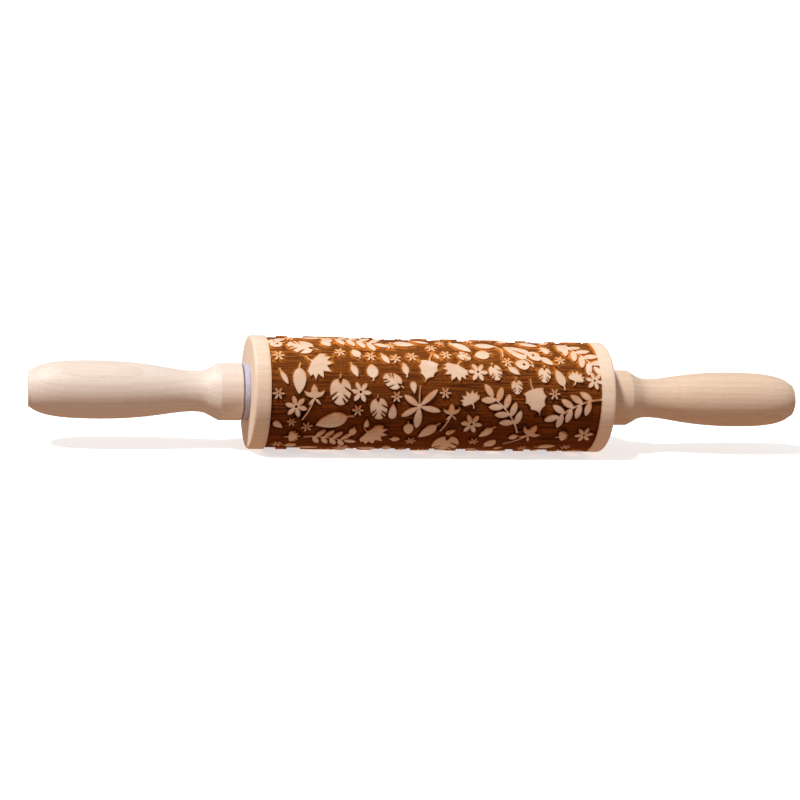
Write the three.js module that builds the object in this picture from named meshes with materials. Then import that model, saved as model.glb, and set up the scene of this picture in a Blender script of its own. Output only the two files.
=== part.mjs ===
// Patterned rolling pin: a beech barrel with an engraved band turns on a steel axle, on two flanged nylon
// bushes, between two turned beech handles. Millimetres, +Z up. The axle lies along X and the origin is the
// middle of the barrel, on its axis.
import * as THREE from "three";

// Driving dimensions.
const OVERALL_LENGTH = 350;
const BARREL_LENGTH = 162;
const BARREL_RADIUS = 25;
const END_GAP = 3; // between a barrel end and its handle, filled by the bush flange and the washer
const HANDLE_RADIUS = 12.6;
const AXLE_RADIUS = 5;
const THREAD_RADIUS = 4; // the axle's ends, cut down for an M8 thread

// Clearances between neighbouring pieces.
const RUNNING_CLEARANCE = 0.1;
const SEAT_CLEARANCE = 0.05;

// Worked out from the driving dimensions.
const BARREL_HALF = BARREL_LENGTH / 2;
const HANDLE_FACE = BARREL_HALF + END_GAP;
const HANDLE_LENGTH = OVERALL_LENGTH / 2 - HANDLE_FACE;
const WASHER_THICKNESS = 0.5;
const WASHER_START = HANDLE_FACE - SEAT_CLEARANCE - WASHER_THICKNESS;
const SHOULDER = WASHER_START - SEAT_CLEARANCE; // where the axle steps down to its thread

// Bush: a sleeve pressed into the barrel's counterbore, under a flange as wide as the handle's collar.
const SLEEVE_RADIUS = 10;
const SLEEVE_LENGTH = 18;
const FLANGE_THICKNESS = WASHER_START - RUNNING_CLEARANCE - BARREL_HALF - SEAT_CLEARANCE;

// Insert nut: a ribbed sleeve in the handle, under a thin flange let in flush.
const NUT_RADIUS = 5.6;
const NUT_RIB_RADIUS = 6.4;
const NUT_RIBS = 4;
const NUT_RIB_PITCH = 3;
const NUT_FLANGE_RADIUS = 7.5;
const NUT_FLANGE_THICKNESS = 1.2;
const NUT_LENGTH = NUT_FLANGE_THICKNESS + NUT_RIBS * NUT_RIB_PITCH + 1.2;
const PILOT_DEPTH = 23; // the hole in the handle past the nut, for the end of the axle's thread

const WASHER_RADIUS = 11.8;
const THREAD_LENGTH = 20;
const BARREL_BORE_RADIUS = 7;

const SMALL_SEGMENTS = 32;
const HANDLE_SEGMENTS = 40;
const BARREL_SEGMENTS = 64;
const CURVE_STEPS = 5;

// Plain colours: pale beech, white nylon, bright steel and brass.
const beech = new THREE.MeshStandardMaterial({ color: 0xe6cdb2, roughness: 0.6, metalness: 0 });
const burntBeech = new THREE.MeshStandardMaterial({ color: 0x8a5735, roughness: 0.7, metalness: 0 });
const nylon = new THREE.MeshStandardMaterial({ color: 0xcfccd8, roughness: 0.45, metalness: 0 });
const steel = new THREE.MeshStandardMaterial({ color: 0xb9bcc0, roughness: 0.3, metalness: 1 });
const brass = new THREE.MeshStandardMaterial({ color: 0xc8a24a, roughness: 0.35, metalness: 1 });

// Turns an outline of (radius, distance along the axis) into a solid that stands along +Y. The outline goes
// up its outside and down its bore.
function turned(outline, segments) {
  return new THREE.LatheGeometry(outline.getPoints(CURVE_STEPS), segments);
}

function mesh(name, geometry, material) {
  const made = new THREE.Mesh(geometry, material);
  made.name = name;
  return made;
}

// A round piece with a hole through it, from `start` to `end`, with its outer edges broken by `bevel`.
function ring(inner, outer, start, end, bevel) {
  const outline = new THREE.Path();
  outline.moveTo(inner, start);
  outline.lineTo(outer - bevel, start);
  outline.lineTo(outer, start + bevel);
  outline.lineTo(outer, end - bevel);
  outline.lineTo(outer - bevel, end);
  outline.lineTo(inner, end);
  outline.lineTo(inner, start);
  return outline;
}

// The barrel: a plain cylinder at the height of the pattern's tops, with softened rims. A bore runs through
// it and a counterbore at each end takes a bush.
function barrelGeometry() {
  const rim = 1.2;
  const seatRadius = SLEEVE_RADIUS + SEAT_CLEARANCE;
  const seatFloor = BARREL_HALF - SLEEVE_LENGTH - 0.5;
  const outline = new THREE.Path();
  outline.moveTo(seatRadius, -BARREL_HALF);
  outline.lineTo(BARREL_RADIUS - rim, -BARREL_HALF);
  outline.absarc(BARREL_RADIUS - rim, -BARREL_HALF + rim, rim, -Math.PI / 2, 0);
  outline.lineTo(BARREL_RADIUS, BARREL_HALF - rim);
  outline.absarc(BARREL_RADIUS - rim, BARREL_HALF - rim, rim, 0, Math.PI / 2);
  outline.lineTo(seatRadius, BARREL_HALF);
  outline.lineTo(seatRadius, seatFloor);
  outline.lineTo(BARREL_BORE_RADIUS, seatFloor);
  outline.lineTo(BARREL_BORE_RADIUS, -seatFloor);
  outline.lineTo(seatRadius, -seatFloor);
  outline.lineTo(seatRadius, -BARREL_HALF);
  return turned(outline, BARREL_SEGMENTS);
}

// The axle: a plain rod that steps down at both shoulders to a threaded end with a chamfered tip.
function axleGeometry() {
  const tip = SHOULDER + THREAD_LENGTH;
  const chamfer = 0.8;
  const outline = new THREE.Path();
  outline.moveTo(0, -tip);
  outline.lineTo(THREAD_RADIUS - chamfer, -tip);
  outline.lineTo(THREAD_RADIUS, -tip + chamfer);
  outline.lineTo(THREAD_RADIUS, -SHOULDER);
  outline.lineTo(AXLE_RADIUS, -SHOULDER);
  outline.lineTo(AXLE_RADIUS, SHOULDER);
  outline.lineTo(THREAD_RADIUS, SHOULDER);
  outline.lineTo(THREAD_RADIUS, tip - chamfer);
  outline.lineTo(THREAD_RADIUS - chamfer, tip);
  outline.lineTo(0, tip);
  return turned(outline, SMALL_SEGMENTS);
}

// A flanged bush, measured from the barrel's end face: the sleeve lies inside, at negative distances.
function bushGeometry() {
  const bore = AXLE_RADIUS + RUNNING_CLEARANCE;
  const flangeRadius = HANDLE_RADIUS - 0.1;
  const bevel = 0.4;
  const outline = new THREE.Path();
  outline.moveTo(bore, -SLEEVE_LENGTH);
  outline.lineTo(SLEEVE_RADIUS - bevel, -SLEEVE_LENGTH);
  outline.lineTo(SLEEVE_RADIUS, -SLEEVE_LENGTH + bevel);
  outline.lineTo(SLEEVE_RADIUS, SEAT_CLEARANCE);
  outline.lineTo(flangeRadius, SEAT_CLEARANCE);
  outline.lineTo(flangeRadius, SEAT_CLEARANCE + FLANGE_THICKNESS - bevel);
  outline.lineTo(flangeRadius - bevel, SEAT_CLEARANCE + FLANGE_THICKNESS);
  outline.lineTo(bore, SEAT_CLEARANCE + FLANGE_THICKNESS);
  outline.lineTo(bore, -SLEEVE_LENGTH);
  return turned(outline, SMALL_SEGMENTS);
}

// The insert nut's outside, from its buried end down to the handle's face, `grow` larger all round. The nut
// and the pocket cut for it in the handle both use it.
function nutOutside(outline, grow) {
  const ribStart = NUT_FLANGE_THICKNESS + 0.6;
  const ribHeight = NUT_RIB_RADIUS - NUT_RADIUS;
  outline.lineTo(NUT_RADIUS + grow, NUT_LENGTH + grow);
  for (let rib = NUT_RIBS - 1; rib >= 0; rib -= 1) {
    const middle = ribStart + (rib + 0.5) * NUT_RIB_PITCH;
    outline.lineTo(NUT_RADIUS + grow, middle + ribHeight);
    outline.lineTo(NUT_RIB_RADIUS + grow, middle);
    outline.lineTo(NUT_RADIUS + grow, middle - ribHeight);
  }
  outline.lineTo(NUT_RADIUS + grow, NUT_FLANGE_THICKNESS + grow);
  outline.lineTo(NUT_FLANGE_RADIUS + grow, NUT_FLANGE_THICKNESS + grow);
  outline.lineTo(NUT_FLANGE_RADIUS + grow, 0);
}

// An insert nut, measured from the handle's face into the handle. Its outline goes down its outside, so its
// points are reversed before they are spun.
function nutGeometry() {
  const bore = THREAD_RADIUS + SEAT_CLEARANCE;
  const outline = new THREE.Path();
  outline.moveTo(bore, 0);
  outline.lineTo(bore, NUT_LENGTH);
  nutOutside(outline, 0);
  outline.lineTo(bore, 0);
  return new THREE.LatheGeometry(outline.getPoints().reverse(), SMALL_SEGMENTS);
}

// A handle, measured outwards from its inner face: a straight collar, a short cone, a cove for the neck, a
// long swell for the palm and a rounded nose with a small flat end.
function handleGeometry() {
  const collarLength = 10;
  const coneEnd = 15;
  const coneRadius = 9.7;
  const neckAt = 20.5;
  const neckRadius = 8.9;
  const swellAt = 61;
  const noseAt = HANDLE_LENGTH - 0.8;
  const noseRadius = 8;
  const endRadius = 7.6;
  const edge = 0.6;
  const pilotRadius = THREAD_RADIUS + 0.3;
  const outline = new THREE.Path();
  outline.moveTo(0, PILOT_DEPTH + 1.6);
  outline.lineTo(pilotRadius, PILOT_DEPTH);
  outline.lineTo(pilotRadius, NUT_LENGTH + RUNNING_CLEARANCE);
  nutOutside(outline, RUNNING_CLEARANCE);
  outline.lineTo(HANDLE_RADIUS - edge, 0);
  outline.lineTo(HANDLE_RADIUS, edge);
  outline.lineTo(HANDLE_RADIUS, collarLength);
  outline.lineTo(coneRadius, coneEnd);
  outline.quadraticCurveTo(neckRadius, coneEnd + 2.5, neckRadius, neckAt);
  outline.bezierCurveTo(neckRadius, 30, HANDLE_RADIUS - 0.2, 38, HANDLE_RADIUS, swellAt);
  outline.bezierCurveTo(HANDLE_RADIUS, 76, 11.9, 85.5, noseRadius, noseAt);
  outline.lineTo(endRadius, HANDLE_LENGTH);
  outline.lineTo(0, HANDLE_LENGTH);
  return turned(outline, HANDLE_SEGMENTS);
}

const pin = new THREE.Group();

// Everything is turned standing along +Y, and `core` lays it down along +X.
const core = new THREE.Group();
core.rotation.z = -Math.PI / 2;
core.add(mesh("roller_barrel", barrelGeometry(), burntBeech));
core.add(mesh("axle_rod", axleGeometry(), steel));
pin.add(core);

const bush = bushGeometry();
const washer = turned(
  ring(THREAD_RADIUS + 0.15, WASHER_RADIUS, 0, WASHER_THICKNESS, 0.1),
  SMALL_SEGMENTS,
);
const nut = nutGeometry();
const handle = handleGeometry();

// The two ends are the same pieces, turned end for end.
for (const side of [
  { name: "left", turn: Math.PI / 2 },
  { name: "right", turn: -Math.PI / 2 },
]) {
  const end = new THREE.Group();
  end.rotation.z = side.turn;

  const bushMesh = mesh(`bush_${side.name}`, bush, nylon);
  bushMesh.position.y = BARREL_HALF;
  end.add(bushMesh);

  const washerMesh = mesh(`thrust_washer_${side.name}`, washer, steel);
  washerMesh.position.y = WASHER_START;
  end.add(washerMesh);

  const nutMesh = mesh(`insert_nut_${side.name}`, nut, brass);
  nutMesh.position.y = HANDLE_FACE;
  end.add(nutMesh);

  const handleMesh = mesh(`handle_${side.name}`, handle, beech);
  handleMesh.position.y = HANDLE_FACE;
  end.add(handleMesh);

  pin.add(end);
}

export default pin;
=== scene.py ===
import math

import bmesh
import bpy
import numpy as np
from mathutils import Matrix, Vector
from mathutils.geometry import delaunay_2d_cdt
from mathutils.kdtree import KDTree


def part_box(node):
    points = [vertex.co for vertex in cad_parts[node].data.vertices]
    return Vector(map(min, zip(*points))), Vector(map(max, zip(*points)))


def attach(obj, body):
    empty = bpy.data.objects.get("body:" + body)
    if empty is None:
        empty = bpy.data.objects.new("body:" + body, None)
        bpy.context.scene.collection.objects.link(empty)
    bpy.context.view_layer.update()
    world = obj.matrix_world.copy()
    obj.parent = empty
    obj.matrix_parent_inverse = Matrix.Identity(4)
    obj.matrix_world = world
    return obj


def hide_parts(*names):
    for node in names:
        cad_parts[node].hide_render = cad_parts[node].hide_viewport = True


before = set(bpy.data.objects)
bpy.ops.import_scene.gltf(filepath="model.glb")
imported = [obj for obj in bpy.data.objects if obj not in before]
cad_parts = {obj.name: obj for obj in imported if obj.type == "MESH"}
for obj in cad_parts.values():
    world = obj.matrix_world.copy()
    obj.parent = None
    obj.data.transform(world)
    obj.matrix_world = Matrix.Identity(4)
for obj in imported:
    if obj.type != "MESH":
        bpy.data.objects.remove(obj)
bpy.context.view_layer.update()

scene = bpy.context.scene
scene.view_settings.view_transform = "Standard"


# ------------------------------------------------------------------------------------------------ Camera
# It stands beyond the left handle, a little above the pin and nearly square to it. So the left end face of
# the barrel shows, the right one doesn't, and the right handle falls away. It is tipped slightly to one side.
pin_to_camera = 0.780
camera_along = -0.190
camera_height = math.radians(12)
camera_yaw = math.radians(13.12)
camera_pitch = math.radians(-11.88)
camera_tip = math.radians(3.60)

camera = bpy.data.objects.new("camera", bpy.data.cameras.new("camera"))
scene.collection.objects.link(camera)
scene.camera = camera
camera.data.sensor_width = 36
camera.data.lens = 80.6
camera.matrix_world = (
    Matrix.Translation(
        (
            camera_along,
            -pin_to_camera * math.cos(camera_height),
            pin_to_camera * math.sin(camera_height),
        )
    )
    @ Matrix.Rotation(-camera_yaw, 4, "Z")
    @ Matrix.Rotation(math.pi / 2 + camera_pitch, 4, "X")
    @ Matrix.Rotation(camera_tip, 4, "Z")
)


# ------------------------------------------------------------------------------------------------ Barrel
# One turned billet of European beech, bored through, with a counterbore at each end for its bush. A laser has
# burnt the ground away all round and left the leaves and flowers standing 0.8 mm proud, with a plain band of
# the turned surface at each end. The pattern is worked out flat, in millimetres, and then wrapped round.
MM = 0.001
barrel_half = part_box("roller_barrel")[1].x / MM
barrel_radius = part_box("roller_barrel")[1].z / MM
field_half = barrel_half - 7  # the engraved field, between the plain bands
engraving_depth = 0.8
wall_lean = 0.12  # how far the foot of an engraved wall stands out from its top edge
scorch_width = 0.6  # the browned margin along the edge of a raised top
edge_drop = 0.04  # how much lower the edge of a raised top lies than the top
rim = 1.2

# The pattern repeats once: this much surface is half of the way round, starting low on the front.
repeat_start = math.radians(-80) * barrel_radius
repeat = math.pi * barrel_radius


def blade(length, width, base=0.6, tip=0.9, steps=12):
    """The outline of a leaf or petal, from its foot at the origin to its point at (length, 0). A low base or
    tip exponent rounds that end, and a high one draws it out to a point."""
    along = (1 - np.cos(np.linspace(0, math.pi, steps + 1))) / 2
    half = along**base * (1 - along) ** tip
    half *= width / 2 / half.max()
    upper = np.column_stack([along * length, half])
    return np.vstack([upper, upper[-2:0:-1] * (1, -1)])


def placed(points, x=0.0, y=0.0, turn=0.0):
    """The points turned about the origin by that many degrees and then moved."""
    c, s = math.cos(math.radians(turn)), math.sin(math.radians(turn))
    return points @ np.array([[c, s], [-s, c]]) + (x, y)


def stalk(start, end, bow=0.0, width=0.75, steps=5):
    """A thin curved stem from start to end, which tapers a little and bows sideways by that share of its
    length."""
    start, end = np.array(start, float), np.array(end, float)
    run = end - start
    side = np.array([-run[1], run[0]])
    t = np.linspace(0, 1, steps + 1)[:, None]
    middle = start + run * t + side * (4 * bow * t * (1 - t))
    slope = np.gradient(middle, axis=0)
    normal = np.column_stack([-slope[:, 1], slope[:, 0]])
    normal /= np.linalg.norm(normal, axis=1)[:, None]
    half = width / 2 * (1 - 0.3 * t)
    return np.vstack([middle + normal * half, (middle - normal * half)[::-1]])


def round_hole(radius, x=0.0, y=0.0):
    turns = np.linspace(0, 2 * math.pi, 9)[:-1]
    return np.column_stack([x + radius * np.cos(turns), y + radius * np.sin(turns)])


# Each motif is drawn at its real size in millimetres, with its middle at the origin and its point towards +x.
# It is a list of outlines, each marked True where it adds raised wood or False where it takes it away.
def leaf(size, width=0.5, base=0.6, tip=0.9):
    foot = -size / 2
    return [
        (placed(blade(size, size * width, base, tip), foot), True),
        (stalk((foot + 0.06 * size, 0), (foot - 0.22 * size, 0.05 * size), 0.08), True),
    ]


def round_leaf(size):
    return leaf(size, 0.8, 0.5, 0.7)


def narrow_leaf(size):
    return leaf(size, 0.34, 0.7, 0.8)


def drop(size):
    return [(placed(blade(size, size * 0.55, 0.5, 1.0), -size / 2), True)]


def pierced_leaf(size):
    return round_leaf(size) + [(round_hole(0.1 * size, -0.12 * size), False)]


def star(size):
    """A small flower of six thin petals with a pierced middle."""
    turns = np.linspace(0, 2 * math.pi, 61)[:-1]
    reach = size / 2 * (0.24 + 0.76 * np.abs(np.cos(3 * turns)) ** 1.7)
    outline = np.column_stack([reach * np.cos(turns), reach * np.sin(turns)])
    return [(outline, True), (round_hole(0.075 * size), False)]


def blossom(size):
    """A flower of six pointed petals round a pierced middle."""
    petal = blade(size * 0.53, size * 0.23, 1.1, 0.8, 8)
    petals = [(placed(petal, turn=60 * k), True) for k in range(6)]
    return petals + [(round_hole(0.16 * size), True), (round_hole(0.07 * size), False)]


def maple(size):
    """A maple leaf: a broad fan of nine short spikes, and a short stalk."""
    spikes = ((88, 0.6), (70, 0.8), (52, 0.94), (29, 0.96), (0, 1.0))
    polar = []
    for (turn, reach), (following, _) in zip(spikes, spikes[1:]):
        polar += [(reach, turn), (0.68, (turn + following) / 2)]
    upper = [(r * math.cos(math.radians(a)), r * math.sin(math.radians(a))) for r, a in polar]
    outline = np.vstack([[(-0.08, 0)], upper, [(1, 0)], np.array(upper[::-1]) * (1, -1)])
    return [
        (outline * 0.7 * size - (0.36 * size, 0), True),
        (stalk((-0.36 * size, 0), (-0.66 * size, 0.05 * size), 0.1), True),
    ]


def holly(size):
    """A holly leaf, widest by its stalk, whose edge is hollowed between nine spines."""
    spines = [(-0.42, 0.14), (-0.36, 0.38), (-0.04, 0.4), (0.24, 0.27), (0.56, 0.0)]
    upper = []
    for (x0, y0), (x1, y1) in zip(spines, spines[1:]):
        for t in (0, 0.25, 0.5, 0.75):
            inward = 0.7 * t * (1 - t) * math.hypot(x1 - x0, y1 - y0)
            upper.append((x0 + (x1 - x0) * t - inward * 0.4, y0 + (y1 - y0) * t - inward))
    outline = np.vstack([np.array(upper), [spines[-1]], np.array(upper)[::-1] * (1, -1)])
    return [(outline * size, True), (stalk((-0.36 * size, 0), (-0.8 * size, 0.05 * size), 0.08), True)]


def monstera(size):
    """A broad rounded leaf, notched at its stalk and slit from both edges of its outer half."""
    outline = placed(blade(size, 0.8 * size, 0.38, 0.5, 16), -size / 2)
    outlines = [(outline, True)]
    for along, side in ((8, 1), (11, 1), (13, 1), (10, -1), (12, -1)):
        mouth = outline[along] * (1, side)
        inner = np.array([mouth[0] - 0.2 * size, 0.32 * mouth[1]])
        reach = inner - mouth
        turn = math.degrees(math.atan2(reach[1], reach[0]))
        slit = blade(np.linalg.norm(reach) * 1.3, 0.08 * size, 0.3, 0.8, 8)
        outlines.append((placed(slit, *(mouth - reach * 0.3), turn), False))
    notch = blade(0.24 * size, 0.15 * size, 0.3, 0.9, 6)
    outlines.append((placed(notch, -0.53 * size, 0), False))
    return outlines + [(stalk((-0.32 * size, 0), (-0.7 * size, 0.03 * size), 0.05, 0.6), True)]


def palmate(size):
    """Five separate leaflets that spread from the top of one stalk."""
    spread = ((0, 0.58, 0.2), (80, 0.55, 0.15), (-57, 0.5, 0.15), (136, 0.62, 0.15), (-124, 0.48, 0.16))
    outlines = [(round_hole(0.05 * size), True), (stalk((0, 0), (-0.5 * size, 0), 0.03), True)]
    for turn, length, width in spread:
        leaflet = blade(length * size, width * size, 0.95, 0.75, 10)
        outlines.append((placed(leaflet, 0.02 * size, 0, turn), True))
    return outlines


def sprig(size, bow=0.06):
    """A bowed stem with four pairs of leaflets and one at its tip."""
    foot, head = -size / 2, size * 0.3
    run = head - foot
    outlines = [(stalk((foot, 0), (head, 0), bow, 0.9), True)]
    leaflet = blade(size * 0.265, size * 0.115, 0.7, 0.7, 9)
    for along in (0.28, 0.5, 0.72, 0.94):
        lift = run * 4 * bow * along * (1 - along)
        at = foot + run * along
        outlines.append((placed(leaflet, at, lift, 54), True))
        outlines.append((placed(leaflet, at - 0.04 * size, lift, -54), True))
    return outlines + [(placed(leaflet, head + 0.02 * size, 0, -4), True)]


def drooping_sprig(size):
    return sprig(size, -0.08)


def tulip(size):
    """An open flower: a pointed middle petal, two that curl outwards, two sepals and a long slanting stem."""
    petals = [(0.13, 0.1), (0.17, 0.2), (0.24, 0.26), (0.33, 0.29), (0.29, 0.2), (0.27, 0.13), (0.3, 0.09)]
    petals += [(0.38, 0.085), (0.44, 0.05)]
    outline = np.vstack([[(0.12, 0)], petals, [(0.5, 0)], np.array(petals[::-1]) * (1, -1)])
    sepal = blade(size * 0.25, size * 0.075, 0.7, 0.6, 6)
    sepals = [(placed(sepal, 0.12 * size, 0, turn), True) for turn in (140, -137)]
    stem = stalk((0.14 * size, 0), (-size / 2, 0.33 * size), 0.04, 0.8)
    return [(outline * size, True)] + sepals + [(stem, True)]


def heart(size):
    """A long heart-shaped leaf, slit at its stalk."""
    lobe = blade(size, size * 0.42, 0.42, 0.8)
    lobes = [(placed(lobe, -size / 2, y, turn), True) for y, turn in ((0.14 * size, -8), (-0.14 * size, 8))]
    slit = blade(size * 0.55, size * 0.07, 0.6, 0.9, 6)
    return lobes + [(placed(slit, -0.42 * size), False)]


def curl(size):
    """A bare curved stem."""
    return [(stalk((-size / 2, 0), (size / 2, 0), 0.18, 0.8), True)]


# Where each motif stands: millimetres along the barrel from its middle, degrees round it (0 is the front and
# 90 the top), its size in millimetres, and the way that it points in degrees.
pattern = [
    # over the top
    (pierced_leaf, -70.8, 69, 6, 200), (leaf, -68.5, 79, 6, 20), (drop, -72.8, 75, 4.5, 60),
    (monstera, -60.3, 66, 11.5, 165), (narrow_leaf, -54, 86, 9, 0), (round_leaf, -48.5, 72.3, 5.2, -60),
    (round_leaf, -47.5, 81, 5.5, -50), (sprig, -35.5, 78, 26, -14), (star, -20.3, 70, 5.2, 10),
    (leaf, -13.5, 74.5, 9.5, -8), (narrow_leaf, -5.5, 80, 7.5, -20), (star, -2, 67.5, 5.2, 0),
    (star, 3, 79, 4.8, 20), (drop, 8.2, 78, 3.8, 100), (leaf, 12.3, 70.5, 10, -45),
    (leaf, 23.5, 74, 9.5, -5), (curl, 28.4, 65, 9, -72), (heart, 36.4, 65, 12, 148),
    (leaf, 44, 79, 8.5, -20), (maple, 51.2, 68.5, 6, 20), (round_leaf, 59.3, 73, 7, 235),
    (sprig, 65.4, 59, 26, -46), (star, -64, 84, 5, 0), (star, 17, 86, 5, 0), (round_leaf, 33, 88, 5.5, 30),
    (drop, 52, 84, 5, 20),
    # high on the front
    (star, -70.4, 52, 5.6, 0), (star, -43.3, 58, 5.2, 15), (round_leaf, -36.3, 57, 5, 120),
    (star, -30, 53, 5.2, 0), (leaf, -23.4, 49.5, 5.6, -62), (star, -19, 50.7, 5.2, 20),
    (star, -11.5, 53.7, 5.4, 5), (star, 4, 57, 5.4, 0), (drop, -0.2, 54, 3.4, -62),
    (monstera, 12.3, 55.5, 6.2, -30), (round_leaf, 20.5, 58, 6.8, 195),
    (pierced_leaf, 44.7, 57.5, 6.6, -50), (pierced_leaf, 38.2, 46.3, 6.6, 172), (star, 31.5, 49, 5.2, 0),
    (curl, 41.6, 48, 5.4, -56), (leaf, 50, 51, 6.6, -38), (star, 56, 52.5, 5.2, 10),
    (leaf, 34, 38.5, 6, -38),
    # upper front
    (narrow_leaf, -68.4, 27, 6.6, -62), (leaf, -61.9, 24, 11.6, -92), (maple, -51.6, 39, 13, -33),
    (leaf, -37.6, 35.2, 6, -68), (round_leaf, -29.9, 35.5, 6.4, 95), (monstera, -21.3, 25.6, 8.6, 150),
    (leaf, -15.2, 39, 5.9, 100), (holly, -5, 38, 11, -105), (maple, 6.8, 34.4, 11, -116),
    (blossom, 17.4, 36.3, 8.6, 57), (monstera, 25.4, 36, 7.4, -75), (monstera, 47.8, 34.3, 7.2, -95),
    (leaf, 54.8, 32, 8.4, 112), (maple, 62.6, 34.5, 7.4, 75), (blossom, 70.8, 29, 8, 47),
    # middle
    (star, -71, 11, 5.4, 0), (tulip, -55.3, 2.6, 16, 92), (monstera, -44.1, 13.3, 11.6, -90),
    (blossom, -35.3, 13.6, 9, 55), (star, -19.4, 9.5, 5.2, 0), (drop, -11.9, 19, 5.4, -82),
    (palmate, -9.1, 0.6, 18, -92), (star, 2.3, 14, 5.2, 0), (maple, 13, 10.6, 8.6, 118),
    (drooping_sprig, 29, -5, 26, 127), (monstera, 34.8, 21, 6.4, -85), (holly, 43.7, 7.4, 12.8, -72),
    (star, 52, 14.7, 5.4, 0), (drooping_sprig, 62.4, -1.4, 26, 202),
    # lower front
    (blossom, -63.2, -2, 9.4, 47), (star, -64.6, -18.5, 4.2, 0), (star, -57.8, -24, 5.4, 15),
    (leaf, -47.4, -17, 14, 197), (star, -36.2, -5, 5.2, 0), (monstera, -27, -3.3, 9.6, -82),
    (drop, -20.8, -5.7, 6.9, 88), (drop, -70.4, -22, 5.2, -35), (drop, -31.8, -19, 4.2, 88),
    (round_leaf, -37.4, -30.2, 4.2, -100), (round_leaf, -12.8, -25.5, 5.7, -80),
    (leaf, -4.2, -28.6, 9.8, 224), (tulip, 5.6, -12, 13.5, 92), (blossom, 15.1, -18.6, 9.4, -5),
    (drop, 6.5, -28.6, 4.8, 28), (leaf, 22.4, -29.3, 7.4, 222), (tulip, 41, -36.5, 17, 60),
    (maple, 59, -32, 6.2, 20), (blossom, 68, -31, 8.4, 10), (round_leaf, 35.3, -35, 4, 200),
    # low on the front, where it turns under
    (maple, -62.3, -37.4, 7, 5), (sprig, -47.5, -41, 22, -8), (maple, -26.6, -37.2, 13.2, -40),
    (round_leaf, -17.6, -40, 4, 0), (star, -10.6, -43, 5, 0), (monstera, 5.8, -52, 15, -90),
    (star, 18, -43, 5, 0), (round_leaf, 26.1, -46, 6.4, 60), (drop, 31, -57, 4.4, 30),
    (star, 42, -57, 5, 0), (leaf, 53, -52, 8, 10), (star, 62, -53, 5, 0), (star, -69.2, -52, 5.4, 0),
    (round_leaf, -63, -54, 5, 10), (narrow_leaf, -55, -60, 9, 0), (leaf, -29, -62, 9, 170),
    (blossom, -40, -62, 8, 0), (round_leaf, -20, -60, 5.5, 100), (star, -13, -66, 5, 0),
    (maple, -4, -70, 8, 120), (leaf, 19, -63, 7, 150), (holly, 31, -74, 9, 20), (drop, 49, -64, 5, 60),
    (maple, 67.5, -67, 9, 100), (star, 58, -71, 5, 0), (sprig, -48, -78, 18, 10), (star, -66, -74, 5, 0),
    (leaf, 10, -80, 7.5, 20), (round_leaf, -28, -78, 6, 45), (star, 43, -79, 5, 0), (leaf, 68, -84, 7, 10),
    (star, 21, -80, 5, 0),
]


def divided(points, step=0.7):
    """The outline with more points along its long sides, no further apart than that."""
    ahead = np.roll(points, -1, 0)
    parts = []
    for start, end in zip(points, ahead):
        count = math.ceil(np.linalg.norm(end - start) / step) or 1
        parts.append(start + (end - start) * (np.arange(count) / count)[:, None])
    return np.vstack(parts)


def outward(points):
    """The outline run anticlockwise, and the outward direction at each of its points."""
    ahead = np.roll(points, -1, 0)
    if (points[:, 0] * ahead[:, 1] - points[:, 1] * ahead[:, 0]).sum() < 0:
        points = points[::-1]
        ahead = np.roll(points, -1, 0)
    along = ahead - points
    along /= np.linalg.norm(along, axis=1)[:, None]
    both = along + np.roll(along, 1, 0)
    both /= np.maximum(np.linalg.norm(both, axis=1), 0.3)[:, None]
    return points, np.column_stack([both[:, 1], -both[:, 0]])


def tree_of(points):
    tree = KDTree(len(points))
    for k, (x, y) in enumerate(points):
        tree.insert((x, y, 0), k)
    tree.balance()
    return tree


def clear_of(points, tree, gap):
    """Those of the points that keep that gap to everything in the tree."""
    return [p for p in points if tree.find((p[0], p[1], 0))[2] >= gap]


# The outlines of one repeat, with a copy of those that cross into it from the repeats on either side, and the
# lowest and highest point of the motif that each belongs to.
outlines, reaches = [], []
for motif, x, degrees, size, turn in pattern:
    y = math.radians(degrees) * barrel_radius
    shapes = [(divided(placed(shape, x, y, turn)), raised) for shape, raised in motif(size)]
    heights = np.concatenate([shape[:, 1] for shape, _ in shapes])
    for shift in (-repeat, 0, repeat):
        low, high = heights.min() + shift, heights.max() + shift
        if high > repeat_start - 3 and low < repeat_start + repeat + 3:
            for shape, raised in shapes:
                outlines.append((*outward(shape + (0, shift)), raised))
                reaches.append((low, high))

# The bands' edges and the ends of the sheet have a point every 3 degrees, and so have the end faces.
ring_points = 120
ring_step = 2 * math.pi * barrel_radius / ring_points
sheet_half = barrel_half - rim
around = repeat_start + ring_step * np.arange(-3, ring_points // 2 + 4)
band_feet = []
for side in (-1, 1):
    edge = np.column_stack([np.full(len(around), side * field_half), around])
    end = np.column_stack([np.full(len(around), side * sheet_half), around])
    band, _ = outward(np.vstack([edge, end[::-1]]))
    outlines.append((band, np.zeros_like(band), True))
    reaches.append((0, 0))
    band_feet += list(edge - (side * wall_lean, 0))

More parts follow.
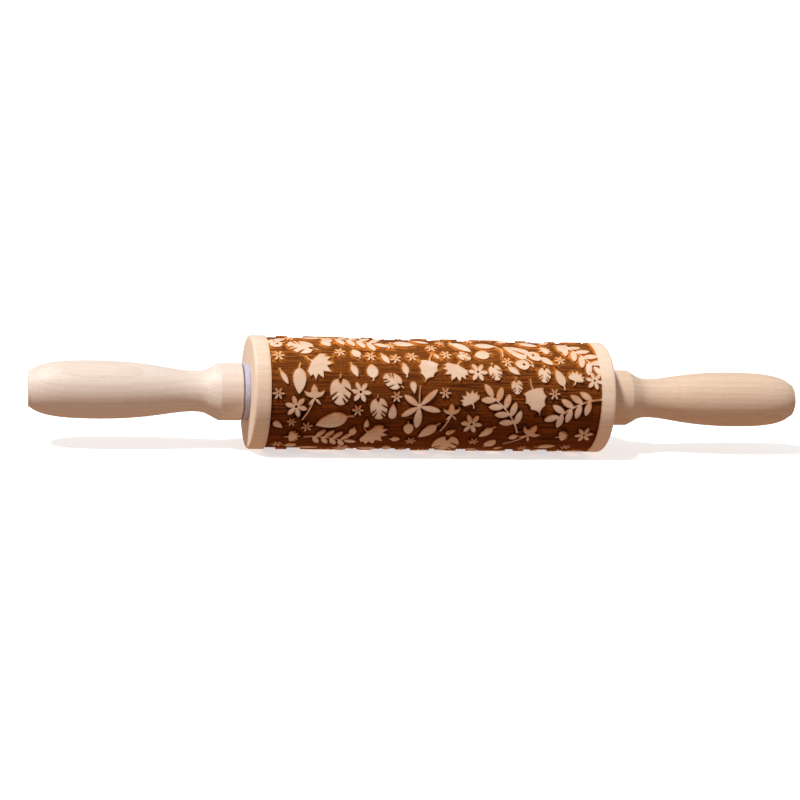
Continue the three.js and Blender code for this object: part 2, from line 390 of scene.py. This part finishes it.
# Loose points: the foot of each wall, the inner edge of each scorched margin, and an even grid between them.
fine_edge = np.vstack(
    [
        points + (np.roll(points, -1, 0) - points) * t
        for points, _, _ in outlines
        for t in (0, 0.25, 0.5, 0.75)
    ]
)
edge_tree = tree_of(fine_edge)
feet, margins = band_feet, []
for points, out, raised in outlines:
    if out.any():
        way = out if raised else -out
        feet += clear_of(points + way * wall_lean, edge_tree, wall_lean * 0.7)
        margins += clear_of(points - way * scorch_width, edge_tree, scorch_width * 0.8)
grid_step = 1.5
grid_rows = 56
grid_gap = 0.62  # that a grid point keeps to every edge, foot and margin
grid = [
    (x + (row % 2) * grid_step / 2, repeat_start + row * repeat / grid_rows)
    for row in range(-2, grid_rows + 3)
    for x in np.arange(-sheet_half + 0.8, sheet_half - 0.8, grid_step)
]
grid = clear_of(grid, tree_of(list(fine_edge) + feet + margins), grid_gap)

# One constrained triangulation of the whole repeat. The seams are lines that it has to keep.
corners, faces_in, raised_faces = [], [], []
for points, _, raised in outlines:
    faces_in.append(list(range(len(corners), len(corners) + len(points))))
    raised_faces.append(raised)
    corners += list(points)
seams_in = []
seam_points = 106
seam_x = np.linspace(-sheet_half, sheet_half, seam_points)
for seam in (repeat_start, repeat_start + repeat):
    first = len(corners)
    corners += [(x, seam) for x in seam_x]
    seams_in += [(k, k + 1) for k in range(first, len(corners) - 1)]
corners += feet + margins + grid
flat, _, faces_out, _, _, parents = delaunay_2d_cdt(
    [tuple(map(float, c)) for c in corners], seams_in, faces_in, 0, 1e-5
)
flat = np.array([(p[0], p[1]) for p in flat])
triangles = np.array(faces_out)
raised_faces = np.array(raised_faces)
top = np.array([len(p) > 0 and bool(raised_faces[list(p)].all()) for p in parents])

# A corner where raised wood meets the ground is a top edge. The triangles beyond it are the walls.
touches_top = np.zeros(len(flat), bool)
touches_top[triangles[top]] = True
touches_ground = np.zeros(len(flat), bool)
touches_ground[triangles[~top]] = True
wall = ~top & touches_top[triangles].any(1)
height = np.where(touches_top, barrel_radius, barrel_radius - engraving_depth)
height = np.where(touches_top & touches_ground, barrel_radius - edge_drop, height)
near_wall = np.zeros(len(flat), bool)
near_wall[triangles[wall]] = True
# 1 at every point of a wall: it marks the top edges for their browned margin, and the ground at each wall's
#                             foot for painted shade.
at_wall = near_wall.astype(float)

# Smoke stain on the tops, drawn as if it were driven one way round the barrel: each motif is browned most
# towards its upper side, 0.2 at its lowest point and 1 at its highest. The bands stay clean.
owners = np.repeat(np.arange(len(outlines)), [4 * len(points) for points, _, _ in outlines])
smoked = np.zeros(len(flat))
for k in np.flatnonzero(touches_top):
    owner = owners[edge_tree.find((*flat[k], 0))[1]]
    low, high = reaches[owner]
    smoked[k] = 0.2 + 0.8 * (flat[k, 1] - low) / (high - low) if high > low else 0
smoked = np.clip(smoked, 0, 1) * (np.abs(flat[:, 0]) < field_half)

# Painted light and shade: a value at each point that is 1 high on the front, where the lamp falls, and half a
# turn on from there, and 0 midway between. It makes the burnt wood lighter and more orange where it is high.
painted_light_peak = math.radians(72)
painted_light = (0.5 + 0.5 * np.cos(2 * (flat[:, 1] / barrel_radius - painted_light_peak))) ** 1.5

middle = flat[triangles].mean(1)
keep = (middle[:, 1] > repeat_start) & (middle[:, 1] < repeat_start + repeat)
keep &= np.abs(middle[:, 0]) < sheet_half
triangles, wall, top = triangles[keep], wall[keep], top[keep]
used, triangles = np.unique(triangles, return_inverse=True)
triangles = triangles.reshape(-1, 3)
flat, height = flat[used], height[used]
point_marks = np.column_stack([at_wall, smoked, painted_light])[used]


def wrapped(x, angle, radius):
    """Points on the barrel, in metres."""
    return np.column_stack([x, -radius * np.cos(angle), radius * np.sin(angle)]) * MM


# The sheet goes round twice. Then the end faces, counterbores and bore close it into one solid.
vertices, faces, kinds, marks = [], [], [], []
for turn in (0, math.pi):
    first = sum(len(v) for v in vertices)
    vertices.append(wrapped(flat[:, 0], flat[:, 1] / barrel_radius + turn, height))
    marks.append(point_marks)
    faces += (triangles + first).tolist()
    kinds += np.where(top, 0, np.where(wall, 1, 2)).tolist()

seat_radius = 10.05
seat_floor = barrel_half - 18.5
bore_radius = 7.0
corner_turns = np.linspace(0, math.pi / 2, 5)
rim_radius = barrel_radius - rim
half_profile = [(sheet_half + rim * math.sin(t), rim_radius + rim * math.cos(t)) for t in corner_turns]
half_profile += [(barrel_half, r) for r in (21, 17, 13.5)]
half_profile += [(barrel_half, seat_radius + 0.4), (barrel_half - 0.4, seat_radius)]
half_profile += [(barrel_half - 9, seat_radius), (seat_floor, seat_radius), (seat_floor, bore_radius)]
half_profile += [(20, bore_radius)]
profile = half_profile + [(-x, r) for x, r in reversed(half_profile)]
ring_angles = (repeat_start + ring_step * np.arange(ring_points)) / barrel_radius
for k, (x, r) in enumerate(profile):
    first = sum(len(v) for v in vertices)
    vertices.append(wrapped(np.full(ring_points, x), ring_angles, r))
    marks.append(np.zeros((ring_points, 3)))
    if k:
        for n in range(ring_points):
            a, b = first - ring_points + n, first - ring_points + (n + 1) % ring_points
            faces.append((a, a + ring_points, b + ring_points, b))
            kinds.append(0)

barrel_mesh = bpy.data.meshes.new("engraved_barrel")
barrel_mesh.from_pydata(np.vstack(vertices).tolist(), [], faces)
barrel_mesh.polygons.foreach_set("material_index", kinds)
for name, values in zip(("at_wall", "smoked", "painted_light"), np.vstack(marks).T):
    barrel_mesh.attributes.new(name, "FLOAT", "POINT").data.foreach_set("value", values)

seam_tolerance = 2e-6
work = bmesh.new()
work.from_mesh(barrel_mesh)
bmesh.ops.remove_doubles(work, verts=work.verts, dist=seam_tolerance)
work.to_mesh(barrel_mesh)
work.free()
barrel_mesh.shade_smooth()
barrel_mesh.set_sharp_from_angle(angle=math.radians(32))
barrel = bpy.data.objects.new("engraved_barrel", barrel_mesh)
scene.collection.objects.link(barrel)


def linear(hex_colour):
    """An sRGB hex colour as the linear values that a shader takes."""
    channels = [int(hex_colour[k : k + 2], 16) / 255 for k in (1, 3, 5)]
    return [c / 12.92 if c <= 0.04045 else ((c + 0.055) / 1.055) ** 2.4 for c in channels] + [1]


def add(tree, kind, inputs={}, **settings):
    """Adds a node with its settings, and sets or links its inputs."""
    made = tree.nodes.new("ShaderNode" + kind)
    for name, value in settings.items():
        setattr(made, name, value)
    for name, value in inputs.items():
        if isinstance(value, bpy.types.NodeSocket):
            tree.links.new(value, made.inputs[name])
        else:
            made.inputs[name].default_value = value
    return made


def blank_material(name):
    material = bpy.data.materials.new(name)
    material.use_nodes = True
    material.node_tree.nodes.clear()
    return material, material.node_tree


def beech_colour(tree, pale, dark, pith):
    """Solid beech, with its grain along X: growth rings round a pith that lies outside the piece, fine pores
    drawn out along the grain, and the short brown ray flecks that mark beech. It gives the colour and a
    height for the bump."""
    ring_width = 0.0026
    place = add(tree, "TexCoord").outputs["Object"]
    wander = add(tree, "Mapping", {"Vector": place, "Scale": (9, 60, 60)}).outputs[0]
    drift = add(tree, "TexNoise", {"Vector": wander, "Scale": 1, "Detail": 2}).outputs["Fac"]
    axes = add(tree, "SeparateXYZ", {0: add(tree, "Mapping", {"Vector": place, "Location": pith}).outputs[0]})
    across = add(tree, "CombineXYZ", {1: axes.outputs[1], 2: axes.outputs[2]}).outputs[0]
    from_pith = add(tree, "VectorMath", {0: across}, operation="LENGTH").outputs["Value"]
    shifted = add(tree, "Math", {0: drift, 1: 0.006, 2: from_pith}, operation="MULTIPLY_ADD").outputs[0]
    ring_count = add(tree, "Math", {0: shifted, 1: 1 / ring_width}, operation="MULTIPLY").outputs[0]
    ring = add(tree, "Math", {0: ring_count}, operation="FRACT").outputs[0]
    late = add(tree, "Math", {0: ring, 1: 3}, operation="POWER").outputs[0]
    fibre_place = add(tree, "Mapping", {"Vector": place, "Scale": (35, 1600, 1600)}).outputs[0]
    fibre = add(tree, "TexNoise", {"Vector": fibre_place, "Scale": 1, "Detail": 3}).outputs["Fac"]
    fleck_place = add(tree, "Mapping", {"Vector": place, "Scale": (260, 1500, 1500)}).outputs[0]
    fleck_noise = add(tree, "TexNoise", {"Vector": fleck_place, "Scale": 1, "Detail": 1}).outputs["Fac"]
    fleck = add(tree, "MapRange", {"Value": fleck_noise, "From Min": 0.62, "From Max": 0.72}).outputs[0]
    streaks = add(tree, "Math", {0: late, 1: 0.35, 2: fibre}, operation="MULTIPLY_ADD").outputs[0]
    share = add(tree, "MapRange", {"Value": streaks, "From Min": 0.3, "From Max": 1.05}).outputs[0]
    wood = add(tree, "Mix", {0: share, 6: linear(pale), 7: linear(dark)}, data_type="RGBA").outputs[2]
    flecked = add(tree, "Math", {0: fleck, 1: 0.14}, operation="MULTIPLY").outputs[0]
    colour = add(tree, "Mix", {0: flecked, 6: wood, 7: linear("#A87C56")}, data_type="RGBA").outputs[2]
    return colour, fibre


def finish(tree, **inputs):
    """The shader and output of a material."""
    named = {name.replace("_", " "): value for name, value in inputs.items()}
    shader = add(tree, "BsdfPrincipled", named)
    add(tree, "OutputMaterial", {"Surface": shader.outputs[0]})


# Sanded beech tops: pale and matt, browned by the laser's smoke along every edge and up one side of each
# motif, in patches. The browned edge carries painted light and shade, dark brown where the painted light is
# low and bright orange where it is high, and the smoke is drawn fainter where it is high.
sanded_beech, tree = blank_material("sanded_beech")
colour, fibre = beech_colour(tree, "#F6DDC6", "#EACAAD", (0, 0.055, -0.03))
place = add(tree, "TexCoord").outputs["Object"]
at_wall = add(tree, "Attribute", attribute_name="at_wall").outputs["Fac"]
smoked = add(tree, "Attribute", attribute_name="smoked").outputs["Fac"]
painted_light = add(tree, "Attribute", attribute_name="painted_light").outputs["Fac"]
cloud_place = add(tree, "Mapping", {"Vector": place, "Scale": (170, 170, 170)}).outputs[0]
cloud = add(tree, "TexNoise", {"Vector": cloud_place, "Scale": 1, "Detail": 2}).outputs["Fac"]
patch_range = {"Value": cloud, "From Min": 0.35, "From Max": 0.65, "To Min": 0.55}
patchy = add(tree, "MapRange", patch_range).outputs[0]
smoke = add(tree, "Math", {0: smoked, 1: 1.7}, operation="POWER").outputs[0]
smoke = add(tree, "Math", {0: smoke, 1: patchy}, operation="MULTIPLY").outputs[0]
# Painted light: less smoke stain where the painted light is high, so the tops are paler there.
strength = add(tree, "MapRange", {"Value": painted_light, "To Min": 1, "To Max": 0.4}).outputs[0]
smoke = add(tree, "Math", {0: smoke, 1: strength}, operation="MULTIPLY").outputs[0]
colour = add(tree, "Mix", {0: smoke, 6: colour, 7: linear("#C97C2E")}, data_type="RGBA").outputs[2]
edge = add(tree, "Math", {0: smoked, 1: 0.45, 2: 0.3}, operation="MULTIPLY_ADD").outputs[0]
edge = add(tree, "Math", {0: edge, 1: at_wall}, operation="MULTIPLY").outputs[0]
# Painted light and shade on the browned edge: dark brown where the painted light is low, bright orange where
# it is high.
burn_in_painted_light = add(tree, "Mix", {0: painted_light, 6: linear("#A45818"), 7: linear("#F0A848")}, data_type="RGBA").outputs[2]
colour = add(tree, "Mix", {0: edge, 6: colour, 7: burn_in_painted_light}, data_type="RGBA").outputs[2]
bump = add(tree, "Bump", {"Height": fibre, "Strength": 0.2, "Distance": 0.00006}).outputs[0]
finish(tree, Base_Color=colour, Roughness=0.6, Sheen_Weight=0.15, Normal=bump)
barrel_mesh.materials.append(sanded_beech)

# Charred walls: the laser's cut edge, with darker streaks. Painted light and shade: they are drawn bright
# orange where the painted light is high and dark brown where it is low.
charred_wall, tree = blank_material("charred_wall")
place = add(tree, "TexCoord").outputs["Object"]
streak_place = add(tree, "Mapping", {"Vector": place, "Scale": (900, 900, 900)}).outputs[0]
streak = add(tree, "TexNoise", {"Vector": streak_place, "Scale": 1, "Detail": 2}).outputs["Fac"]
share = add(tree, "MapRange", {"Value": streak, "From Min": 0.3, "From Max": 0.7}).outputs[0]
# Painted shade and painted light: a dark and a bright orange copy of the char, mixed by the painted light.
burn_in_painted_shade = add(tree, "Mix", {0: share, 6: linear("#4A1A04"), 7: linear("#A04A10")}, data_type="RGBA").outputs[2]
burn_in_painted_light = add(tree, "Mix", {0: share, 6: linear("#C4661A"), 7: linear("#F5A54A")}, data_type="RGBA").outputs[2]
painted_light = add(tree, "Attribute", attribute_name="painted_light").outputs["Fac"]
colour = add(tree, "Mix", {0: painted_light, 6: burn_in_painted_shade, 7: burn_in_painted_light}, data_type="RGBA").outputs[2]
finish(tree, Base_Color=colour, Roughness=0.85, Specular_IOR_Level=0.1)
barrel_mesh.materials.append(charred_wall)

# Engraved ground: burnt beech without a shine, ribbed along the barrel by the laser's passes. Such passes are
# usually near 0.1 mm apart, too fine to show, so they are drawn about 0.8 mm apart and some 20 mm long,
# stronger in places. It is drawn lighter and more orange where the painted light is high and darker where it
# is low. At the foot of each wall it is drawn black-brown as painted shade in the crease, and orange as a
# painted glow where the painted light is high.
engraved_ground, tree = blank_material("engraved_ground")
place = add(tree, "TexCoord").outputs["Object"]
axes = add(tree, "SeparateXYZ", {0: place})
angle = add(tree, "Math", {0: axes.outputs[2], 1: axes.outputs[1]}, operation="ARCTAN2").outputs[0]
pass_place = add(tree, "CombineXYZ", {0: axes.outputs[0], 1: angle}).outputs[0]
line_place = add(tree, "Mapping", {"Vector": pass_place, "Scale": (50, 25 / 0.8, 1)}).outputs[0]
passes = add(tree, "TexNoise", {"Vector": line_place, "Scale": 1, "Detail": 2}).outputs["Fac"]
patch_place = add(tree, "Mapping", {"Vector": place, "Scale": (45, 45, 45)}).outputs[0]
patch = add(tree, "TexNoise", {"Vector": patch_place, "Scale": 1, "Detail": 2}).outputs["Fac"]
strength_range = {"Value": patch, "From Min": 0.35, "From Max": 0.65, "To Min": 0.25}
strength = add(tree, "MapRange", strength_range).outputs[0]
ribs = add(tree, "MapRange", {"Value": passes, "From Min": 0.4, "From Max": 0.6, "To Min": -1}).outputs[0]
ribs = add(tree, "Math", {0: ribs, 1: strength}, operation="MULTIPLY").outputs[0]
share = add(tree, "Math", {0: ribs, 1: 0.5, 2: 0.5}, operation="MULTIPLY_ADD").outputs[0]
# Painted shade and painted light: a dark and a lighter orange copy of the ground, mixed by the painted light.
burn_in_painted_shade = add(tree, "Mix", {0: share, 6: linear("#421804"), 7: linear("#8E4610")}, data_type="RGBA").outputs[2]
burn_in_painted_light = add(tree, "Mix", {0: share, 6: linear("#5C2A08"), 7: linear("#A86224")}, data_type="RGBA").outputs[2]
painted_light = add(tree, "Attribute", attribute_name="painted_light").outputs["Fac"]
colour = add(tree, "Mix", {0: painted_light, 6: burn_in_painted_shade, 7: burn_in_painted_light}, data_type="RGBA").outputs[2]
speck_place = add(tree, "Mapping", {"Vector": place, "Scale": (1100, 1100, 1100)}).outputs[0]
speck = add(tree, "TexNoise", {"Vector": speck_place, "Scale": 1, "Detail": 1}).outputs["Fac"]
speck = add(tree, "MapRange", {"Value": speck, "From Min": 0.3, "From Max": 0.7, "To Max": 0.4}).outputs[0]
colour = add(tree, "Mix", {0: speck, 6: colour, 7: linear("#4E1E06")}, data_type="RGBA").outputs[2]
# Painted shade in the crease at each wall's foot, near black, and a painted orange glow there where the
# painted light is high.
at_wall = add(tree, "Attribute", attribute_name="at_wall").outputs["Fac"]
near = add(tree, "Math", {0: at_wall, 1: 2.2}, operation="POWER").outputs[0]
near = add(tree, "Math", {0: near, 1: 0.95}, operation="MULTIPLY").outputs[0]
painted_foot_shade_and_glow = add(tree, "Mix", {0: painted_light, 6: linear("#1A0400"), 7: linear("#E08A38")}, data_type="RGBA").outputs[2]
colour = add(tree, "Mix", {0: near, 6: colour, 7: painted_foot_shade_and_glow}, data_type="RGBA").outputs[2]
bump = add(tree, "Bump", {"Height": ribs, "Strength": 0.5, "Distance": 0.00025}).outputs[0]
finish(tree, Base_Color=colour, Roughness=0.9, Specular_IOR_Level=0.1, Normal=bump)
barrel_mesh.materials.append(engraved_ground)

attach(barrel, "barrel")
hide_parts("roller_barrel")


# ------------------------------------------------------------------------------------------------ Bushes
# White nylon bushes, injection moulded, one pressed into each end of the barrel. The sleeve is the bearing
# and the flange, as wide as the handle's collar, keeps the barrel off the handle. They turn with the barrel.
def turned(name, profile, segments=96):
    """A piece turned about the pin's axis from a closed profile of (place along the axis, radius) points in
    millimetres, run so that the wood or metal lies on its right. A radius of 0 is a point on the axis."""
    angles = 2 * math.pi * np.arange(segments) / segments
    points, rings, faces = [], [], []
    for x, r in profile:
        first = sum(len(p) for p in points)
        if r == 0:
            points.append(np.array([[x, 0, 0]]) * MM)
            rings.append([first] * segments)
        else:
            points.append(wrapped(np.full(segments, x), angles, r))
            rings.append(list(range(first, first + segments)))
    for ring, following in zip(rings, rings[1:] + rings[:1]):
        for n in range(segments):
            m = (n + 1) % segments
            corners = [ring[n], following[n], following[m], ring[m]]
            corners = [c for k, c in enumerate(corners) if c != corners[k - 1]]
            if len(corners) > 2:
                faces.append(corners)
    made = bpy.data.meshes.new(name)
    made.from_pydata(np.vstack(points).tolist(), [], faces)
    made.shade_smooth()
    made.set_sharp_from_angle(angle=math.radians(30))
    piece = bpy.data.objects.new(name, made)
    scene.collection.objects.link(piece)
    return piece


def mirrored(profile, side):
    """The profile as it is for the right end, or turned over for the left one."""
    return profile if side > 0 else [(-x, r) for x, r in reversed(profile)]


def fillet(x, r, radius, start, end, steps=4):
    """Points round a corner's centre, from one angle to the other in degrees."""
    turns = np.radians(np.linspace(start, end, steps + 1))
    return [(x + radius * math.cos(t), r + radius * math.sin(t)) for t in turns]


ends = {"left": -1, "right": 1}
bush_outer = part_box("bush_right")[1].x / MM
bush_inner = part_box("bush_right")[0].x / MM
flange_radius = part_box("bush_right")[1].z / MM
flange_back = barrel_half + 0.05
sleeve_radius = 10.0
bush_bore = 5.1
bush_profile = [(bush_inner, bush_bore + 0.4), (bush_inner, sleeve_radius - 0.8)]
bush_profile += [(bush_inner + 1.6, sleeve_radius), (flange_back, sleeve_radius)]
bush_profile += [(flange_back, flange_radius - 0.2), (flange_back + 0.2, flange_radius)]
bush_profile += fillet(bush_outer - 0.5, flange_radius - 0.5, 0.5, 90, 0)
bush_profile += [(bush_outer, bush_bore + 0.5), (bush_outer - 0.5, bush_bore), (bush_inner + 0.4, bush_bore)]

moulded_nylon, tree = blank_material("moulded_nylon")
place = add(tree, "TexCoord").outputs["Object"]
mottle = add(tree, "TexNoise", {"Vector": place, "Scale": 700, "Detail": 3}).outputs["Fac"]
share = add(tree, "MapRange", {"Value": mottle, "From Min": 0.35, "From Max": 0.65}).outputs[0]
# Painted shade: the nylon is coloured a cool lilac grey, darker than white nylon, as the flange lies in the
# shade of the handle's collar.
colour = add(tree, "Mix", {0: share, 6: linear("#B4B0C4"), 7: linear("#C0BDCE")}, data_type="RGBA").outputs[2]
bump = add(tree, "Bump", {"Height": mottle, "Strength": 0.2, "Distance": 0.00005}).outputs[0]
finish(tree, Base_Color=colour, Roughness=0.42, IOR=1.53, Normal=bump)

for end, side in ends.items():
    bush = turned(f"nylon_bush_{end}", mirrored(bush_profile, side))
    bush.data.materials.append(moulded_nylon)
    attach(bush, "barrel")
    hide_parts(f"bush_{end}")


# -------------------------------------------------------------------------------------- Axle and washers
# A bright drawn steel rod runs right through the barrel, and its shouldered ends are cut down for an M8
# thread. A thin stamped steel washer sits on each shoulder, between the bush's flange and the handle.
drawn_steel, tree = blank_material("drawn_steel")
place = add(tree, "TexCoord").outputs["Object"]
draw_place = add(tree, "Mapping", {"Vector": place, "Scale": (30, 4000, 4000)}).outputs[0]
draw_lines = add(tree, "TexNoise", {"Vector": draw_place, "Scale": 1, "Detail": 2}).outputs["Fac"]
steel_shades = {0: draw_lines, 6: linear("#9FA2A6"), 7: linear("#C9CBCE")}
colour = add(tree, "Mix", steel_shades, data_type="RGBA").outputs[2]
roughness = add(tree, "MapRange", {"Value": draw_lines, "To Min": 0.24, "To Max": 0.4}).outputs[0]
bump = add(tree, "Bump", {"Height": draw_lines, "Strength": 0.2, "Distance": 0.00002}).outputs[0]
finish(tree, Base_Color=colour, Metallic=1.0, Roughness=roughness, Normal=bump)

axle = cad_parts["axle_rod"]
axle.data.materials.clear()
axle.data.materials.append(drawn_steel)

washer_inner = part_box("thrust_washer_right")[0].x / MM
washer_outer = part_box("thrust_washer_right")[1].x / MM
washer_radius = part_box("thrust_washer_right")[1].z / MM
washer_hole = 4.15
washer_profile = [(washer_inner, washer_hole), (washer_inner, washer_radius - 0.15)]
washer_profile += [(washer_inner + 0.15, washer_radius), (washer_outer - 0.05, washer_radius)]
washer_profile += [(washer_outer, washer_radius - 0.05), (washer_outer, washer_hole)]
for end, side in ends.items():
    washer = turned(f"steel_washer_{end}", mirrored(washer_profile, side))
    washer.data.materials.append(drawn_steel)
    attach(washer, "handle_set")
    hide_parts(f"thrust_washer_{end}")


# ------------------------------------------------------------------------------------------- Insert nuts
# Ribbed brass inserts, turned from bar, pressed into the handles. The axle's threads screw into them.
turned_brass, tree = blank_material("turned_brass")
place = add(tree, "TexCoord").outputs["Object"]
cut_place = add(tree, "Mapping", {"Vector": place, "Scale": (5000, 200, 200)}).outputs[0]
cut_lines = add(tree, "TexNoise", {"Vector": cut_place, "Scale": 1, "Detail": 2}).outputs["Fac"]
brass_shades = {0: cut_lines, 6: linear("#B28E3E"), 7: linear("#D6B566")}
colour = add(tree, "Mix", brass_shades, data_type="RGBA").outputs[2]
roughness = add(tree, "MapRange", {"Value": cut_lines, "To Min": 0.25, "To Max": 0.42}).outputs[0]
finish(tree, Base_Color=colour, Metallic=1.0, Roughness=roughness)
for end in ends:
    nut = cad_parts[f"insert_nut_{end}"]
    nut.data.materials.clear()
    nut.data.materials.append(turned_brass)


# ----------------------------------------------------------------------------------------------- Handles
# Beech, turned between centres and sanded: a straight collar, a short cone, a cove for the neck and a long
# swell for the palm, with a flat end. Each is drilled from its collar for the insert nut and axle end.
handle_face = barrel_half + 3
handle_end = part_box("handle_right")[1].x / MM
collar_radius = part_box("handle_right")[1].z / MM


def curve(p0, p1, p2, p3, steps):
    """Points along a smooth curve from p0 to p3 that leaves towards p1 and arrives from p2."""
    t = np.linspace(0, 1, steps + 1)[1:, None]
    p0, p1, p2, p3 = (np.array(p, float) for p in (p0, p1, p2, p3))
    path = p0 * (1 - t) ** 3 + 3 * p1 * t * (1 - t) ** 2 + 3 * p2 * t**2 * (1 - t) + p3 * t**3
    return [tuple(p) for p in path]


collar_end = handle_face + 10
cone_end = handle_face + 15
neck = (handle_face + 20.5, 8.9)
swell = (handle_face + 61, collar_radius)
nose = (handle_end - 0.8, 8.0)
pocket_floor = handle_face + 14.5  # of the stepped hole that takes the insert nut
handle_shape = [(handle_face + 24.6, 0), (handle_face + 23, 4.3), (pocket_floor, 4.3), (pocket_floor, 6.6)]
handle_shape += [(handle_face + 1.3, 6.6), (handle_face + 1.3, 7.6), (handle_face, 7.6)]
handle_shape += fillet(handle_face + 0.5, collar_radius - 0.5, 0.5, 180, 90)
handle_shape += fillet(collar_end - 0.4, collar_radius - 0.4, 0.4, 90, 60, 2)
handle_shape += [(cone_end - 0.25, 9.88), (cone_end + 0.25, 9.66)]
handle_shape += curve(handle_shape[-1], (cone_end + 1.8, 9.1), (cone_end + 3.4, neck[1]), neck, 8)
handle_shape += curve(neck, (handle_face + 30, neck[1]), (handle_face + 38, collar_radius - 0.2), swell, 22)
handle_shape += curve(swell, (handle_face + 76, collar_radius), (handle_face + 85.5, 11.9), nose, 16)
handle_shape += [(handle_end - 0.3, 7.85), (handle_end, 7.6), (handle_end, 3), (handle_end, 0)]

for end, side in ends.items():
    turned_beech, tree = blank_material(f"turned_beech_{end}")
    pale, dark = ("#F0DFD2", "#E2CCBA") if end == "left" else ("#E6CAB2", "#D5B597")
    colour, fibre = beech_colour(tree, pale, dark, (0.3 * side, 0.03, 0.05 * side))
    # The lathe tool leaves faint rings, about 0.8 mm apart.
    place = add(tree, "TexCoord").outputs["Object"]
    ring_place = add(tree, "Mapping", {"Vector": place, "Scale": (1250, 12, 12)}).outputs[0]
    rings = add(tree, "TexNoise", {"Vector": ring_place, "Scale": 1, "Detail": 1}).outputs["Fac"]
    ring_range = {"Value": rings, "From Min": 0.5, "From Max": 0.8, "To Max": 0.35}
    darker = add(tree, "MapRange", ring_range).outputs[0]
    colour = add(tree, "Mix", {0: darker, 6: colour, 7: linear(dark)}, data_type="RGBA").outputs[2]
    surface = add(tree, "Math", {0: rings, 1: 0.8, 2: fibre}, operation="MULTIPLY_ADD").outputs[0]
    bump = add(tree, "Bump", {"Height": surface, "Strength": 0.25, "Distance": 0.00006}).outputs[0]
    finish(tree, Base_Color=colour, Roughness=0.52, Sheen_Weight=0.12, Normal=bump)
    handle = turned(f"beech_handle_{end}", mirrored(handle_shape, side))
    handle.data.materials.append(turned_beech)
    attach(handle, "handle_set")
    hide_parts(f"handle_{end}")


# --------------------------------------------------------------------------------------- Floor and lights
# A white table with white walls round it, a lamp high on the left and a little to the front, and a dim
# even light from all round, warm from below. The table and walls are left out of what lights the pin.
floor_mesh = bpy.data.meshes.new("floor")
floor_mesh.from_pydata([(-40, -40, 0), (40, -40, 0), (40, 40, 0), (-40, 40, 0)], [], [(0, 1, 2, 3)])
floor = bpy.data.objects.new("floor", floor_mesh)
floor.location.z = -barrel_radius * MM
floor.visible_diffuse = False
floor.visible_glossy = False
scene.collection.objects.link(floor)
floor_paint, tree = blank_material("floor_paint")
white_paint = {"Base_Color": linear("#F4F3F1"), "Roughness": 0.9, "Emission_Color": linear("#FFFFFF")}
finish(tree, **white_paint, Emission_Strength=0.6)
floor_mesh.materials.append(floor_paint)

wall_corners = [(x, y, z) for z in (0, 6) for x, y in ((-8, -8), (8, -8), (8, 8), (-8, 8))]
wall_faces = [(k, (k + 1) % 4, (k + 1) % 4 + 4, k + 4) for k in range(4)]
walls_mesh = bpy.data.meshes.new("walls")
walls_mesh.from_pydata(wall_corners, [], wall_faces)
walls = bpy.data.objects.new("walls", walls_mesh)
walls.location.z = floor.location.z
walls.visible_diffuse = False
walls.visible_glossy = False
walls.visible_shadow = False
scene.collection.objects.link(walls)
wall_paint, tree = blank_material("wall_paint")
finish(tree, **white_paint, Emission_Strength=1)
walls_mesh.materials.append(wall_paint)

world = bpy.data.worlds.new("studio")
scene.world = world
world.use_nodes = True
tree = world.node_tree
tree.nodes.clear()
upward = add(tree, "SeparateXYZ", {0: add(tree, "TexCoord").outputs["Generated"]}).outputs[2]
share = add(tree, "MapRange", {"Value": upward, "From Min": -0.25, "From Max": 0.25}).outputs[0]
warm_below = (0.46, 0.285, 0.19, 1)
plain_above = (0.33, 0.33, 0.33, 1)
glow = add(tree, "Mix", {0: share, 6: warm_below, 7: plain_above}, data_type="RGBA").outputs[2]
add(tree, "OutputWorld", {"Surface": add(tree, "Background", {"Color": glow}).outputs[0]})

lamp = bpy.data.objects.new("high_lamp", bpy.data.lights.new("high_lamp", "SUN"))
lamp.data.energy = 3.2
lamp.data.angle = math.radians(8)
lamp_from = Vector((-0.45, -0.22, 0.86))
lamp.rotation_euler = lamp_from.to_track_quat("Z", "Y").to_euler()
scene.collection.objects.link(lamp)
